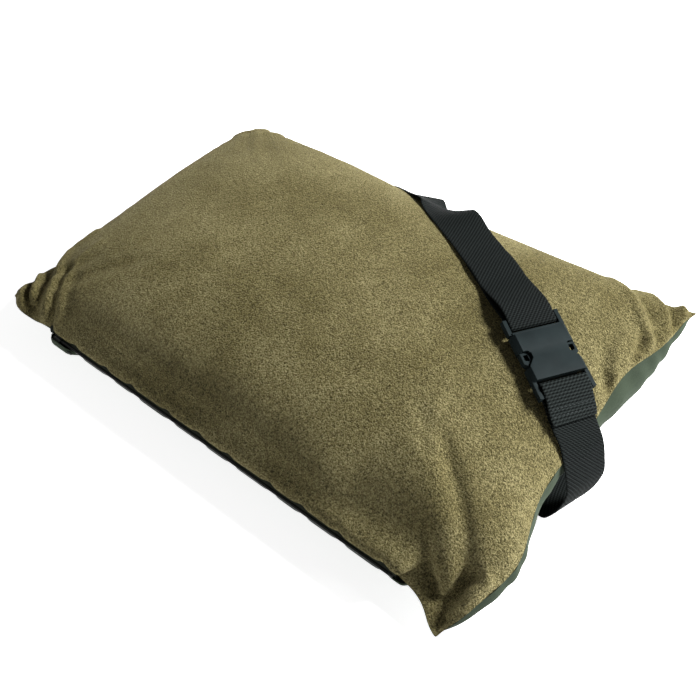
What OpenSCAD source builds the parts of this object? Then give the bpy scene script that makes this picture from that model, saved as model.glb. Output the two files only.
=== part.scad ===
// Camp pillow with an adjustable webbing strap and a side-release buckle.
// The pillow lies on its under panel: +Z is up, +X runs along its length, and the
// origin is on the resting surface below the middle of the pillow.

/* [Pillow] */
// Length from corner to corner
pillow_l = 600; // [580:5:620]
// Width from corner to corner
pillow_w = 400; // [390:5:410]
// Height of the crown above the seam
crown_h = 71; // [66:1:76]
// Depth of the belly below the seam
belly_d = 54; // [52:1:54]
// Thickness of the fleece
fleece_t = 2.4; // [1.8:0.2:2.8]
// Thickness of the under panel
under_t = 1.2; // [0.8:0.2:1.6]
// Thickness of the inner casing
casing_t = 0.8; // [0.6:0.1:1.0]

/* [Strap] */
// Width of the webbing
web_w = 50; // [48:1:50]
// Thickness of the webbing
web_t = 1.5; // [1.2:0.1:1.6]

/* [Buckle] */
// Width of the buckle
buckle_w = 60; // [58:1:62]
// Length of the socket body
socket_l = 50; // [48:1:52]
// Height of the socket body
socket_h = 12.5; // [12:0.5:13]

/* [Zip] */
// Length of the zip
zip_l = 450; // [430:10:450]
// Width of one zip tape
tape_w = 9; // [7:1:9]

/* [Hidden] */

fleece_col = "#7d7450";
under_col = "#4a5346";
casing_col = "#e6e4da";
filling_col = "#f6f5f0";
webbing_col = "#1c1f1f";
thread_col = "#2b2f2e";
buckle_col = "#2f3637";
zip_col = "#23261f";
metal_col = "#5a5c5b";

half_l = pillow_l / 2;
half_w = pillow_w / 2;

// ---- Shape of the pillow -------------------------------------------------
// Flat panel coordinates s and t run from -1 to 1 along the length and width.
pull_x = 0.02;      // how far the short sides pull in between their corners
pull_y = 0.045;     // how far the long sides pull in between their corners
pull_power = 6;
edge_power = 2.7;   // fullness of the crown
tip_power = 8;      // how close to its corner a lifted or drooping tip stays
// Height of the seam at the corners: front left, front right, back left, back right
seam_fl = 35;
seam_fr = 35;
seam_bl = 44;
seam_br = 78;
// Extra lift of each tip
tip_fl = -8;
tip_fr = -22;
tip_bl = -3;
tip_br = 14;
seam_gap = 0.2;     // between the two panels at the seam

function corner_share(s, t, i, j) = (1 + i * s) / 2 * (1 + j * t) / 2;
function corner_lift(s, t, i, j, base, tip) =
    base * corner_share(s, t, i, j) + tip * pow(corner_share(s, t, i, j), tip_power);
function seam_z(s, t, inset) =
    let (p = s * (1 - inset / half_l), q = t * (1 - inset / half_w))
    corner_lift(p, q, -1, -1, seam_fl, tip_fl) + corner_lift(p, q, 1, -1, seam_fr, tip_fr)
    + corner_lift(p, q, -1, 1, seam_bl, tip_bl) + corner_lift(p, q, 1, 1, seam_br, tip_br);
function swell(s, t) =
    sqrt(max(0, (1 - pow(abs(s), edge_power)) * (1 - pow(abs(t), edge_power))));
function narrow_x(s, t) = 1 - pull_x * (1 - pow(abs(t), pull_power)) * s * s;
function narrow_y(s, t) = 1 - pull_y * (1 - pow(abs(s), pull_power)) * t * t;
function plan(s, t, inset) =
    [(half_l - inset) * s * narrow_x(s, t), (half_w - inset) * t * narrow_y(s, t)];
function top_z(s, t, inset) =
    seam_z(s, t, inset) + seam_gap / 2 + (crown_h - inset) * swell(s, t);
function top_point(s, t, inset) = concat(plan(s, t, inset), [top_z(s, t, inset)]);

// The belly is flat where it rests, and is drawn down to the strap at its stitched anchor.
anchor = [120, 91];
anchor_r = 42;
anchor_clear = 4.4;
function draw_down(p) = exp(-pow(norm(p - anchor) / anchor_r, 2));
function belly_z(s, t, inset) =
    seam_z(s, t, inset) - seam_gap / 2 - (belly_d - inset) * swell(s, t);
function drawn_z(z, inset, share) = z + (min(z, anchor_clear + inset) - z) * share;
function base_point(s, t, inset) =
    let (p = plan(s, t, inset))
    concat(p, [max(inset, drawn_z(belly_z(s, t, inset), inset, draw_down(p)))]);

function spread(i, n) = sin(-90 + 180 * i / n);
function grid(n, m, inset, top) =
    [for (i = [0:n], j = [0:m])
        let (s = spread(i, n), t = spread(j, m))
        top ? top_point(s, t, inset) : base_point(s, t, inset)];
function grid_faces(n, m, first, up) =
    [for (i = [0:n - 1], j = [0:m - 1])
        let (a = first + i * (m + 1) + j, b = a + m + 1)
        for (f = [[a, a + 1, b + 1], [a, b + 1, b]]) up ? f : [f[2], f[1], f[0]]];
function rim(n, m) = concat(
    [for (i = [0:n - 1]) i * (m + 1)],
    [for (j = [0:m - 1]) n * (m + 1) + j],
    [for (i = [n:-1:1]) i * (m + 1) + m],
    [for (j = [m:-1:1]) j]);
function rim_faces(n, m, offset, up) =
    let (r = rim(n, m), k = len(r))
    [for (i = [0:k - 1])
        let (a = r[i], b = r[(i + 1) % k])
        for (f = [[a, b, b + offset], [a, b + offset, a + offset]]) up ? [f[2], f[1], f[0]] : f];

// One sewn panel: an outer and an inner skin joined round the rim. A top panel is
// built face down and mirrored, so that both kinds are wound the same way.
module panel(n, m, inset, thick, top) {
    count = (n + 1) * (m + 1);
    mirror([0, 0, top ? 1 : 0])
        polyhedron(
            points = [for (p = concat(grid(n, m, inset, top), grid(n, m, inset + thick, top)))
                [p[0], p[1], top ? -p[2] : p[2]]],
            faces = concat(
                grid_faces(n, m, 0, false),
                grid_faces(n, m, count, true),
                rim_faces(n, m, count, true)));
}

cover_n = 36;
cover_m = 24;
casing_n = 24;
casing_m = 16;
casing_in = 3.6;
filling_in = 5;

module fleece_top_panel() {
    color(fleece_col) panel(cover_n, cover_m, 0, fleece_t, true);
}

module under_panel() {
    color(under_col) panel(cover_n, cover_m, 0, under_t, false);
}

module inner_casing_top() {
    color(casing_col) panel(casing_n, casing_m, casing_in, casing_t, true);
}

module inner_casing_base() {
    color(casing_col) panel(casing_n, casing_m, casing_in, casing_t, false);
}

module fibre_filling() {
    n = casing_n;
    m = casing_m;
    count = (n + 1) * (m + 1);
    color(filling_col)
        polyhedron(
            points = concat(grid(n, m, filling_in, true), grid(n, m, filling_in, false)),
            faces = concat(
                grid_faces(n, m, 0, true),
                grid_faces(n, m, count, false),
                rim_faces(n, m, count, false)));
}

// ---- Finding the surface above a place in plan ------------------------------
function clamp(v) = max(-1, min(1, v));
function flat_place(x, y, s, t, left) =
    left == 0 ? [s, t]
    : flat_place(x, y, clamp(x / half_l / narrow_x(s, t)), clamp(y / half_w / narrow_y(s, t)),
        left - 1);
function top_at(p) =
    let (q = flat_place(p[0], p[1], p[0] / half_l, p[1] / half_w, 6)) top_z(q[0], q[1], 0);

// ---- Buckle frame: x along the strap, y across it, z away from the pillow -----
buckle_at = [226, 38];
strap_yaw = -29.5;
buckle_pitch = 14.5;
buckle_roll = -6;
function turned(v) =
    let (
        cr = cos(buckle_roll), sr = sin(buckle_roll),
        cp = cos(buckle_pitch), sp = sin(buckle_pitch),
        cy = cos(strap_yaw), sy = sin(strap_yaw),
        a = [v[0], v[1] * cr - v[2] * sr, v[1] * sr + v[2] * cr],
        b = [a[0] * cp + a[2] * sp, a[1], a[2] * cp - a[0] * sp])
    [b[0] * cy - b[1] * sy, b[0] * sy + b[1] * cy, b[2]];
bar_reach = socket_l / 2 + 18;
buckle_clear = 0.4;
buckle_z = max([for (x = [-bar_reach:4:bar_reach], y = [-buckle_w / 2, 0, buckle_w / 2])
    let (v = turned([x, y, 0])) top_at(buckle_at + [v[0], v[1]]) - v[2]]) + buckle_clear;
function buckle_point(v) = [buckle_at[0], buckle_at[1], buckle_z] + turned(v);
module in_buckle_frame() {
    translate([buckle_at[0], buckle_at[1], buckle_z])
        rotate([buckle_roll, buckle_pitch, strap_yaw])
            children();
}

// ---- Webbing: a flat ribbon through a list of stations [centre, across] ---------
function unit(v) = v / norm(v);
along = [cos(strap_yaw), sin(strap_yaw)];
across = [-sin(strap_yaw), cos(strap_yaw)];
function strap_place(u, v) = buckle_at + u * along + v * across;
edge_v = web_w / 2 - 3;
lie = 0.5 + web_t / 2;      // from the fleece to the middle of the webbing

// A station that lies on the crown, u along the strap from the buckle.
function lying(u, lift) =
    let (
        p = strap_place(u, 0),
        near = top_at(strap_place(u, -edge_v)),
        far = top_at(strap_place(u, edge_v)),
        z = max(top_at(p), (near + far) / 2) + lie + lift)
    [[p[0], p[1], z], unit([across[0] * 2 * edge_v, across[1] * 2 * edge_v, far - near])];
function in_buckle(x, z) = [buckle_point([x, 0, z]), turned([0, 1, 0])];
// Stations round a bar of the buckle.
function round_bar(x, z, r, from, to) =
    [for (i = [0:8]) let (a = from + (to - from) * i / 8) in_buckle(x + r * cos(a), z + r * sin(a))];

function blend4(a, b, c, d, f) =
    0.5 * (2 * b + (c - a) * f + (2 * a - 5 * b + 4 * c - d) * f * f
        + (3 * b - a - 3 * c + d) * f * f * f);
// A smooth curve through stations, with a few steps between each two.
function smooth(st, steps) =
    let (k = len(st) - 1)
    concat(
        [for (i = [0:k - 1], j = [0:steps - 1])
            let (a = st[max(0, i - 1)], b = st[i], c = st[i + 1], d = st[min(k, i + 2)], f = j / steps)
            [blend4(a[0], b[0], c[0], d[0], f), unit(blend4(a[1], b[1], c[1], d[1], f))]],
        [st[k]]);
function heading(st, i) = unit(st[min(len(st) - 1, i + 1)][0] - st[max(0, i - 1)][0]);
function facing(st, i) = unit(cross(heading(st, i), st[i][1]));
function ring(st, i, w, t) =
    let (p = st[i][0], a = st[i][1] * w / 2, n = facing(st, i) * t / 2)
    [p - a - n, p + a - n, p + a + n, p - a + n];
module ribbon(st, w, t) {
    k = len(st);
    polyhedron(
        points = [for (i = [0:k - 1]) each ring(st, i, w, t)],
        faces = concat(
            [[0, 1, 2], [0, 2, 3]],
            [for (i = [0:k - 2], j = [0:3])
                let (a = 4 * i + j, b = 4 * i + (j + 1) % 4)
                for (f = [[a, a + 4, b + 4], [a, b + 4, b]]) f],
            [[4 * k - 4, 4 * k - 2, 4 * k - 3], [4 * k - 4, 4 * k - 1, 4 * k - 2]]));
}

// Under the pillow both straps run straight to the anchor, one on top of the other.
run_dir = unit([250, -162]);
run_across = [-run_dir[1], run_dir[0], 0];
lap = 24;
long_run_z = 3.1;
short_run_z = 1.4;
function run_station(d, z) =
    [[anchor[0] + d * run_dir[0], anchor[1] + d * run_dir[1], z], run_across];

// The turn round the back edge, from the floor to the crown.
back_turn = [
    [[-20, half_w - 22, 7], [0.62, 0.78, 0]],
    [[-36, half_w - 9, 15], [0.74, 0.67, 0.05]],
    [[-47, half_w + 1, 30], [0.84, 0.54, 0.08]],
    [[-51, half_w + 5, 48], [0.88, 0.47, 0]],
    [[-48, half_w + 4, 66], [0.83, 0.55, -0.12]],
    [[-36, half_w - 4, 83], [0.72, 0.62, -0.30]],
    [[-20, half_w - 14, 94], [0.58, 0.67, -0.46]]
];
// The turn round the right edge, from the crown to the floor.
right_turn = [
    [[half_l - 5.5, 1, 73.6], [0.40, 0.89, -0.20]],
    [[half_l + 5, -3, 55], [0.30, 0.94, -0.12]],
    [[half_l + 11, -6, 37], [0.24, 0.97, -0.05]],
    [[half_l + 7, -12, 19], [0.26, 0.96, 0]],
    [[half_l - 5, -15, 7], [0.36, 0.93, 0]]
];

plug_bar = -socket_l / 2 - 9.5;
outer_bar = -socket_l / 2 - 16.5;
bar_z = 5.5;
bar_r = 2;
socket_bar = socket_l / 2 + 14.5;
socket_bar_r = 2.4;
web_gap = 0.25;
bar_gap = 0.4;
tail_end = -125;
tail_gap = 1;        // between the strap and its tail, which lies under it

long_route = concat(
    [for (d = [lap, 0, -40, -80]) run_station(d, long_run_z)],
    back_turn,
    [for (u = [-255:15:-135]) lying(u, 0)],
    [for (u = [-120, -105, -90]) lying(u, web_t + tail_gap)],
    [in_buckle(-62, 7), in_buckle(-50, 9.4), in_buckle(-42, 9)],
    round_bar(plug_bar, bar_z, bar_r + web_gap + web_t / 2, 90, -90),
    [in_buckle(-42, 2.2), in_buckle(-52, 0.6)],
    [for (u = [-72, -90, -108, tail_end]) lying(u, 0)]);

short_route = concat(
    [for (d = [-lap, 0, 40, 80]) run_station(d, short_run_z)],
    [run_station(150, short_run_z + 1)],
    [for (i = [len(right_turn) - 1:-1:0]) right_turn[i]],
    [lying(61, 0.8), in_buckle(50, -1.8)],
    round_bar(socket_bar, bar_z, socket_bar_r + bar_gap + web_t / 2, -105, -270));

// The short strap's end is folded back on top of itself and stitched.
// It lies on a slope there, so its rise is more than the webbing's thickness.
fold_rise = 4.4;
fold_route = [
    in_buckle(socket_bar, bar_z + socket_bar_r + bar_gap + web_t / 2),
    in_buckle(46, 6),
    in_buckle(52, 1.6),
    lying(60, 0.8 + fold_rise)
];
short_line = smooth(concat(short_route, [for (i = [1:len(fold_route) - 1]) fold_route[i]]), 2);

module strap_long() {
    color(webbing_col) ribbon(smooth(long_route, 2), web_w, web_t);
}

module strap_short() {
    color(webbing_col) ribbon(short_line, web_w, web_t);
}

// ---- Stitching ------------------------------------------------------------
stitch_l = 3;
stitch_pitch = 4.5;
thread_t = 0.5;
stitch_gap = 0.06;
fold_stitch_gap = 0.2;
module stitch_row(length) {
    count = floor(length / stitch_pitch);
    for (i = [0:count - 1])
        translate([(i + 0.5) * stitch_pitch - count * stitch_pitch / 2, 0, 0])
            cube([stitch_l, thread_t, thread_t], center = true);
}

box_l = 40;
box_w = 38;
module anchor_stitching() {
    diagonal = norm([box_l, box_w]) - 2 * stitch_pitch;
    color(thread_col)
        translate([anchor[0], anchor[1], short_run_z - web_t / 2 - thread_t / 2 - stitch_gap])
            rotate([0, 0, atan2(run_dir[1], run_dir[0])]) {
                for (side = [-1, 1]) {
                    translate([0, side * box_w / 2, 0]) stitch_row(box_l);
                    translate([side * box_l / 2, 0, 0]) rotate([0, 0, 90]) stitch_row(box_w - 4);
                }
                rotate([0, 0, atan2(box_w, box_l)]) stitch_row(diagonal);
                rotate([0, 0, -atan2(box_w, box_l)])
                    for (side = [-1, 1])
                        translate([side * diagonal / 4 + side * 2, 0, 0]) stitch_row(diagonal / 2 - 4);
            }
}

// Rows of stitches across the folded end, each given by a point and its directions.
row_w = web_w - 5;
module across_row(st, i) {
    f = facing(st, i);
    a = st[i][1];
    h = cross(a, f);
    p = st[i][0] + f * (web_t / 2 + thread_t / 2 + fold_stitch_gap);
    multmatrix([
        [a[0], h[0], f[0], p[0]],
        [a[1], h[1], f[1], p[1]],
        [a[2], h[2], f[2], p[2]],
        [0, 0, 0, 1]])
        stitch_row(row_w);
}
module strap_end_stitching() {
    last = len(short_line) - 1;
    color(thread_col)
        for (i = [last - 2, last - 1])
            across_row(short_line, i);
}

// ---- Buckle -----------------------------------------------------------------
wall = 3;
floor_t = 2;
roof_t = 2.1;
bevel = 4;
arm_w = 4;
window_from = -6;
window_to = 11;
window_in = 19;

module socket_section() {
    h = buckle_w / 2;
    polygon([
        [-h, 3], [-h, socket_h - bevel], [-h + bevel, socket_h],
        [h - bevel, socket_h], [h, socket_h - bevel], [h, 3], [h - 3, 0], [-h + 3, 0]]);
}
// Lays a section drawn in y and z along x.
module lengthwise(from, to) {
    translate([from, 0, 0])
        rotate([90, 0, 90])
            linear_extrude(to - from)
                children();
}
module window(side) {
    out = side * (buckle_w / 2 + 1);
    translate([0, 0, -1])
        linear_extrude(socket_h + 2)
            polygon([
                [window_from, out], [window_from, side * (window_in + 3)],
                [window_from + 3, side * window_in], [window_from + 8, side * window_in],
                [window_to, side * (window_in + 8)], [window_to, out]]);
}
module socket_bar_end() {
    for (side = [-1, 1])
        translate([socket_l / 2 - 1, side * (buckle_w / 2 - arm_w / 2) - arm_w / 2, 2.5])
            cube([socket_bar - socket_l / 2 + 4.5, arm_w, 6.5]);
    translate([socket_bar, buckle_w / 2 - 1, bar_z])
        rotate([90, 0, 0])
            cylinder(h = buckle_w - 2, r = socket_bar_r, $fn = 48);
}
module buckle_socket() {
    color(buckle_col)
        in_buckle_frame()
            union() {
                difference() {
                    lengthwise(-socket_l / 2, socket_l / 2) socket_section();
                    translate([-socket_l / 2 - 1, -buckle_w / 2 + wall, floor_t])
                        cube([socket_l - 3, buckle_w - 2 * wall, socket_h - floor_t - roof_t]);
                    window(1);
                    window(-1);
                }
                socket_bar_end();
            }
}

plug_play = 0.3;
plug_y = buckle_w / 2 - wall - plug_play;
plug_lo = floor_t + plug_play;
plug_hi = socket_h - roof_t - plug_play;
neck_from = -socket_l / 2 - 3;
neck_to = -socket_l / 2 + 5;
pivot_x = -socket_l / 2 + 1;
pivot_y = 20;
pivot_r = 2;
pivot_play = 0.05;
prong_t = 3.4;
module neck_cut(side) {
    translate([pivot_x, side * pivot_y, plug_lo - 1])
        cylinder(h = plug_hi - plug_lo + 2, r = pivot_r + pivot_play, $fn = 48);
    translate([pivot_x, side * (pivot_y - 0.4) - (prong_t + 1.4) / 2, plug_lo - 1])
        cube([neck_to - pivot_x + 1, prong_t + 1.4, plug_hi - plug_lo + 2]);
}
guide_l = 40;
guide_w = 7;
module buckle_plug() {
    color(buckle_col)
        in_buckle_frame()
            union() {
                difference() {
                    translate([neck_from, -plug_y, plug_lo])
                        cube([neck_to - neck_from, 2 * plug_y, plug_hi - plug_lo]);
                    neck_cut(1);
                    neck_cut(-1);
                }
                translate([neck_to - 1, -guide_w / 2, plug_lo + 0.8])
                    cube([guide_l, guide_w, plug_hi - plug_lo - 1.6]);
                for (side = [-1, 1])
                    translate([outer_bar - 1.5, side * (buckle_w / 2 - arm_w / 2) - arm_w / 2, 2.5])
                        cube([neck_from - outer_bar + 2.2, arm_w, 6.5]);
                translate([neck_from, -buckle_w / 2, 2.5])
                    cube([1.8, buckle_w, 6.5]);
                for (x = [outer_bar, plug_bar])
                    translate([x, buckle_w / 2 - 1, bar_z])
                        rotate([90, 0, 0])
                            cylinder(h = buckle_w - 2, r = x == plug_bar ? bar_r : 1.5, $fn = 48);
            }
}

// A prong bends about its root: a thin arm that ends in a barbed finger pad.
pad_out = buckle_w / 2 - 0.7;
pad_from = window_from + 0.3;
pad_to = 10;
module prong(side) {
    color(buckle_col)
        in_buckle_frame()
            translate([0, 0, plug_lo + 0.5])
                union() {
                    translate([pivot_x, side * pivot_y, 0])
                        cylinder(h = plug_hi - plug_lo - 1, r = pivot_r, $fn = 48);
                    linear_extrude(plug_hi - plug_lo - 1)
                        difference() {
                            polygon([
                                [pivot_x, side * (pivot_y - 2)],
                                [pad_to + 1, side * (pivot_y - 1)],
                                [pad_to + 3, side * (pivot_y + 1.5)],
                                [pad_from + 11, side * pad_out],
                                [pad_from, side * pad_out],
                                [pad_from, side * (pivot_y + 2.4)],
                                [pivot_x, side * (pivot_y + 1.4)]]);
                            polygon([
                                [pad_from + 2.5, side * (pad_out - 2.4)],
                                [pad_from + 2.5, side * (pivot_y + 2.2)],
                                [pad_from + 10, side * (pivot_y + 2)],
                                [pad_from + 8, side * (pad_out - 2.4)]]);
                        }
                }
}

module buckle_prong_left() {
    prong(1);
}

module buckle_prong_right() {
    prong(-1);
}

// ---- Zip under the front long edge: x along it, y up the tape, z outward ---------
zip_at = [0, 5 - half_w, 26];
zip_lean = 112;
tape_t = 0.6;
tape_inner = 1.2;
coil_t = 2;
coil_lift = 0.7;
coil_half = 3;
tooth_pitch = 4;
tooth_w = 1.7;
slider_l = 11;
slider_x = -zip_l / 2 + 6;
module in_zip_frame() {
    translate(zip_at)
        rotate([zip_lean, 0, 0])
            children();
}

module zip_tape(side) {
    color(zip_col)
        in_zip_frame()
            translate([-zip_l / 2 - 8, side > 0 ? tape_inner : -tape_inner - tape_w, 0])
                cube([zip_l + 16, tape_w, tape_t]);
}

module zip_tape_upper() {
    zip_tape(1);
}

module zip_tape_lower() {
    zip_tape(-1);
}

// A row of interlocking teeth along a spine.
coil_from = slider_x + slider_l / 2 + 1;
coil_to = zip_l / 2;
module zip_coil(side) {
    count = floor((coil_to - coil_from) / tooth_pitch) - 1;
    start = coil_from + (side > 0 ? tooth_pitch / 2 : 0);
    reach = 1.2;
    spine = 1.6;
    color(zip_col)
        in_zip_frame()
            translate([0, 0, coil_lift])
                linear_extrude(coil_t)
                    polygon(concat(
                        [[coil_from - 0.5, side * coil_half], [coil_from - 0.5, side * spine]],
                        [for (i = [0:count])
                            let (x = start + i * tooth_pitch)
                            each [[x, side * spine], [x, -side * reach],
                                [x + tooth_w, -side * reach], [x + tooth_w, side * spine]]],
                        [[coil_to, side * spine], [coil_to, side * coil_half]]));
}

module zip_coil_upper() {
    zip_coil(1);
}

module zip_coil_lower() {
    zip_coil(-1);
}

module zip_end_stops() {
    stop_x = zip_l / 2 + 2.5;
    color(metal_col)
        in_zip_frame() {
            translate([stop_x - 2, -coil_half, coil_lift])
                cube([4, 2 * coil_half, coil_t]);
            for (side = [-1, 1])
                translate([-zip_l / 2 - 4, side * 2.3 - 1, coil_lift])
                    cube([4, 2, coil_t]);
        }
}

// The folded fleece edge that laps over the zip, as a hooked strip.
flap_over = 10;
module zip_flap() {
    color(fleece_col)
        translate([0, zip_at[1], zip_at[2]])
            lengthwise(-zip_l / 2 - flap_over, zip_l / 2 + flap_over)
                polygon([
                    [0.2, 16.5], [-3.9, 15], [-7.8, 10.8], [-6, 5.2],
                    [-4, 5.9], [-5.5, 10.6], [-2.9, 13.2], [0.4, 14.2]]);
}

slider_w = 8.4;
plate_t = 1.2;
channel = 0.3;
bail_h = 3.4;
pin_rise = 1.8;
bail_x = -1;
module slider_plate(z) {
    translate([-slider_l / 2, -slider_w / 2, z])
        cube([slider_l, slider_w, plate_t]);
}
module zip_slider() {
    top = coil_lift + coil_t + channel;
    color(metal_col)
        in_zip_frame()
            translate([slider_x, 0, 0])
                union() {
                    slider_plate(top);
                    slider_plate(-plate_t - channel);
                    translate([-slider_l / 2, -1, -plate_t])
                        cube([3, 2, top + plate_t + 0.2]);
                    for (side = [-1, 1])
                        translate([-slider_l / 2, side * (slider_w / 2 - 0.45) - 0.45, 1])
                            cube([slider_l, 0.9, top - 0.9]);
                    for (side = [-1, 1])
                        translate([bail_x - 1.4, side * 3.2 - 0.6, top + plate_t - 0.1])
                            cube([2.8, 1.2, bail_h]);
                    translate([bail_x, 3.6, top + plate_t + pin_rise])
                        rotate([90, 0, 0])
                            cylinder(h = 7.2, r = 0.8, $fn = 32);
                }
}

tab_l = 24;
tab_w = 5;
tab_t = 1.2;
tab_bore = 0.87;
module zip_pull_tab() {
    pin_z = coil_lift + coil_t + channel + plate_t + pin_rise;
    color(metal_col)
        in_zip_frame()
            translate([slider_x + bail_x, 0, pin_z])
                difference() {
                    union() {
                        translate([0, -tab_w / 2, -tab_t / 2 + 0.9])
                            cube([tab_l, tab_w, tab_t]);
                        translate([0, tab_w / 2, 0])
                            rotate([90, 0, 0])
                                cylinder(h = tab_w, r = 1.5, $fn = 32);
                    }
                    translate([0, tab_w / 2 + 1, 0])
                        rotate([90, 0, 0])
                            cylinder(h = tab_w + 2, r = tab_bore, $fn = 32);
                    translate([tab_l - 4, 0, -2])
                        cylinder(h = 5, r = 1.3, $fn = 32);
                }
}

fleece_top_panel();
under_panel();
inner_casing_top();
inner_casing_base();
fibre_filling();
zip_flap();
zip_tape_upper();
zip_tape_lower();
zip_coil_upper();
zip_coil_lower();
zip_end_stops();
zip_slider();
zip_pull_tab();
strap_long();
strap_short();
anchor_stitching();
strap_end_stitching();
buckle_socket();
buckle_plug();
buckle_prong_left();
buckle_prong_right();
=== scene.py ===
"""The looks of the camp pillow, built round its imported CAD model. Metres, +Z up, +X along the pillow."""

import math

import bmesh
import bpy
import numpy as np
from mathutils import Euler, Matrix, Vector, noise
from mathutils.bvhtree import BVHTree


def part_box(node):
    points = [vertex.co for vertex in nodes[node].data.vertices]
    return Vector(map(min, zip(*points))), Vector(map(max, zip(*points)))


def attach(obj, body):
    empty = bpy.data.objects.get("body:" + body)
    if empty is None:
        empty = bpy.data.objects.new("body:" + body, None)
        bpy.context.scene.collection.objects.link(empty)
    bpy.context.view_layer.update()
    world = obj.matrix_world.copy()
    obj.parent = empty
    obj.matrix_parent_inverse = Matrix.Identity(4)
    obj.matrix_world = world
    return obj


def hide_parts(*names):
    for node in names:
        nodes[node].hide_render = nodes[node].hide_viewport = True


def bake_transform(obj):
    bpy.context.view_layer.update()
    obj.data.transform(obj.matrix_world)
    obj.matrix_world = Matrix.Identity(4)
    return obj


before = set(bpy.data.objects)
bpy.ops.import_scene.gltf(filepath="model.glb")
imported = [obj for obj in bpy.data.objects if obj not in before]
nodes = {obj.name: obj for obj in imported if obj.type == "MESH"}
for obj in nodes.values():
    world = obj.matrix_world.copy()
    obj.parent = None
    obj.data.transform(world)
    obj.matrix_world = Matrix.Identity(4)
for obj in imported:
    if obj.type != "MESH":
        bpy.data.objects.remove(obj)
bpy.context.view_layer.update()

MM = 0.001
scene = bpy.context.scene


# ---------------------------------------------------------------- small helpers

def new_object(name, mesh):
    obj = bpy.data.objects.new(name, mesh)
    scene.collection.objects.link(obj)
    return obj


def mesh_from(name, points, faces):
    mesh = bpy.data.meshes.new(name)
    mesh.from_pydata([tuple(p) for p in points], [], [tuple(f) for f in faces])
    mesh.validate()
    mesh.shade_smooth()
    mesh.update()
    return mesh


def coords(mesh):
    co = np.empty(len(mesh.vertices) * 3)
    mesh.vertices.foreach_get("co", co)
    return co.reshape(-1, 3)


def set_coords(mesh, co):
    mesh.vertices.foreach_set("co", np.asarray(co, float).ravel())
    mesh.update()


def normals(mesh):
    out = np.empty(len(mesh.vertices) * 3)
    mesh.vertices.foreach_get("normal", out)
    return out.reshape(-1, 3)


def apply_modifiers(obj):
    deps = bpy.context.evaluated_depsgraph_get()
    mesh = bpy.data.meshes.new_from_object(obj.evaluated_get(deps))
    old = obj.data
    obj.modifiers.clear()
    obj.data = mesh
    bpy.data.meshes.remove(old)
    return obj


def subdivided(obj):
    mod = obj.modifiers.new("smooth", "SUBSURF")
    mod.levels = mod.render_levels = 1
    return apply_modifiers(obj)


def smoothstep(x):
    x = np.clip(x, 0, 1)
    return x * x * (3 - 2 * x)


# ---------------------------------------------------------------- materials

class Nodes:
    """Short calls for building one material's node tree."""

    def __init__(self, name, **constants):
        self.material = bpy.data.materials.new(name)
        self.material.use_nodes = True
        self.tree = self.material.node_tree
        self.shader = self.tree.nodes["Principled BSDF"]
        for socket, value in constants.items():
            self.shader.inputs[socket.replace("_", " ")].default_value = value
        self.coordinates = self.add("ShaderNodeTexCoord")

    def add(self, kind, **settings):
        node = self.tree.nodes.new(kind)
        for key, value in settings.items():
            setattr(node, key, value)
        return node

    def link(self, a, b):
        self.tree.links.new(a, b)

    def place(self, source):
        """Where a point lies, in the object's own metres (Object) or on its UV map (UV)."""
        return self.coordinates.outputs[source]

    def noise(self, vector, scale, detail=2.0, roughness=0.5, distortion=0.0):
        node = self.add("ShaderNodeTexNoise")
        node.inputs["Scale"].default_value = scale
        node.inputs["Detail"].default_value = detail
        node.inputs["Roughness"].default_value = roughness
        node.inputs["Distortion"].default_value = distortion
        self.link(vector, node.inputs["Vector"])
        return node.outputs["Fac"]

    def voronoi(self, vector, scale):
        node = self.add("ShaderNodeTexVoronoi")
        node.inputs["Scale"].default_value = scale
        self.link(vector, node.inputs["Vector"])
        return node.outputs["Distance"]

    def math(self, operation, a, b):
        node = self.add("ShaderNodeMath", operation=operation)
        for socket, value in zip(node.inputs, (a, b)):
            if isinstance(value, (int, float)):
                socket.default_value = value
            else:
                self.link(value, socket)
        return node.outputs[0]

    def ramp(self, value, stops):
        node = self.add("ShaderNodeValToRGB")
        elements = node.color_ramp.elements
        while len(elements) < len(stops):
            elements.new(0.5)
        for element, (place, colour) in zip(elements, stops):
            element.position = place
            element.color = (*colour, 1)
        self.link(value, node.inputs["Fac"])
        return node.outputs["Color"]

    def mix(self, factor, a, b, blend="MIX"):
        node = self.add("ShaderNodeMix", data_type="RGBA", blend_type=blend)
        if isinstance(factor, (int, float)):
            node.inputs[0].default_value = factor
        else:
            self.link(factor, node.inputs[0])
        for socket, value in ((node.inputs[6], a), (node.inputs[7], b)):
            if isinstance(value, tuple):
                socket.default_value = (*value, 1)
            else:
                self.link(value, socket)
        return node.outputs[2]

    def bump(self, height, distance, strength=1.0, normal=None):
        node = self.add("ShaderNodeBump")
        node.inputs["Distance"].default_value = distance
        node.inputs["Strength"].default_value = strength
        self.link(height, node.inputs["Height"])
        if normal is not None:
            self.link(normal, node.inputs["Normal"])
        return node.outputs["Normal"]

    def finish(self, colour=None, roughness=None, normal=None):
        for value, socket in ((colour, "Base Color"), (roughness, "Roughness"), (normal, "Normal")):
            if value is not None:
                self.link(value, self.shader.inputs[socket])
        return self.material


def srgb(r, g, b):
    """A colour given in display values from 0 to 255, as the linear values that a shader takes."""
    return tuple(
        (c / 255 / 12.92) if c / 255 <= 0.04045 else ((c / 255 + 0.055) / 1.055) ** 2.4
        for c in (r, g, b)
    )


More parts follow.
